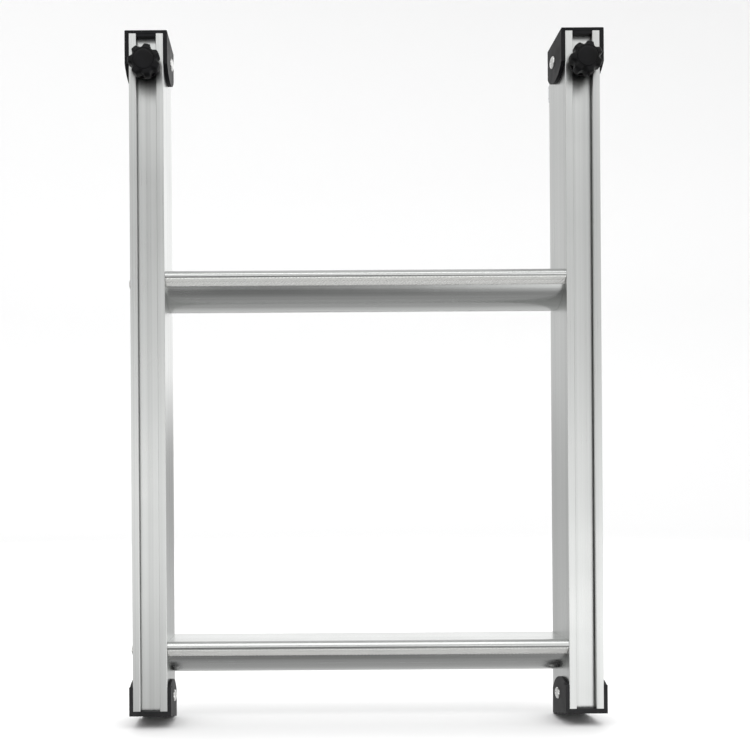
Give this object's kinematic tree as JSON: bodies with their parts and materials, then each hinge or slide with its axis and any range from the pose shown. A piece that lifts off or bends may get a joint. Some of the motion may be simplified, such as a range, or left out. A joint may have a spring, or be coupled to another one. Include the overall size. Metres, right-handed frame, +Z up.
{
  "type": "boat boarding ladder",
  "caption": "Short clamp-on boarding ladder section: T-slot aluminium rails, D-section rungs with a knurled front edge, black end caps and feet, and star clamping knobs.",
  "frame": {"origin": "centre of the bounding box in X and Y, at the lowest line of the soles", "axes": "+X to the right seen from the front, +Y from the front towards the back, +Z up along the rails"},
  "size_m": [0.398, 0.069, 0.5762],
  "materials": {
    "rail_aluminium": "satin extruded, fine lengthwise lines",
    "rung_aluminium": "satin extruded, bright bead, knurled band",
    "cap_plastic": "moulded, fine grain",
    "foot_plastic": "moulded, fine grain, ribbed sole",
    "knob_plastic": "moulded, satin",
    "rivet_aluminium": "bright domed",
    "zinc_steel": "zinc plated",
    "screw_steel": "stainless",
    "brass": "turned"
  },
  "bodies": {
    "frame": {"left_rail": "rail_aluminium", "left_top_cap": "cap_plastic", "left_foot": "foot_plastic", "left_knob_washer": "knob_plastic", "left_stud_sleeve": "rung_aluminium", "left_top_cap_rivets": "rivet_aluminium", "left_foot_rivets": "rivet_aluminium", "right_rail": "rail_aluminium", "right_top_cap": "cap_plastic", "right_foot": "foot_plastic", "right_knob_washer": "knob_plastic", "right_stud_sleeve": "rung_aluminium", "right_top_cap_rivets": "rivet_aluminium", "right_foot_rivets": "rivet_aluminium", "upper_rung": "rung_aluminium", "upper_rung_screws": "screw_steel", "lower_rung": "rung_aluminium", "lower_rung_screws": "screw_steel"},
    "left_knob_set": {"left_knob": "knob_plastic", "left_knob_cap": "knob_plastic", "left_knob_insert": "brass", "left_stud": "zinc_steel"},
    "left_nut_set": {"left_slot_nut": "zinc_steel"},
    "right_knob_set": {"right_knob": "knob_plastic", "right_knob_cap": "knob_plastic", "right_knob_insert": "brass", "right_stud": "zinc_steel"},
    "right_nut_set": {"right_slot_nut": "zinc_steel"}
  },
  "joints": [
    {"name": "left_knob_turn", "type": "hinge", "parent": "frame", "child": "left_knob_set", "pos_m": [-0.17975, -0.02198, 0.54652], "axis": [0, -1, 0], "range_deg": [0, 1080]},
    {"name": "left_nut_travel", "type": "slide", "parent": "frame", "child": "left_nut_set", "axis": [0, 1, 0], "range_m": [0, 0.00376]},
    {"name": "right_knob_turn", "type": "hinge", "parent": "frame", "child": "right_knob_set", "pos_m": [0.17975, -0.02198, 0.54652], "axis": [0, -1, 0], "range_deg": [0, 1080]},
    {"name": "right_nut_travel", "type": "slide", "parent": "frame", "child": "right_nut_set", "axis": [0, 1, 0], "range_m": [0, 0.00376]}
  ],
  "couplings": [
    {"joint": "left_nut_travel", "follows": "left_knob_turn", "m_per_rad": 0.00019894},
    {"joint": "right_nut_travel", "follows": "right_knob_turn", "m_per_rad": 0.00019894}
  ]
}
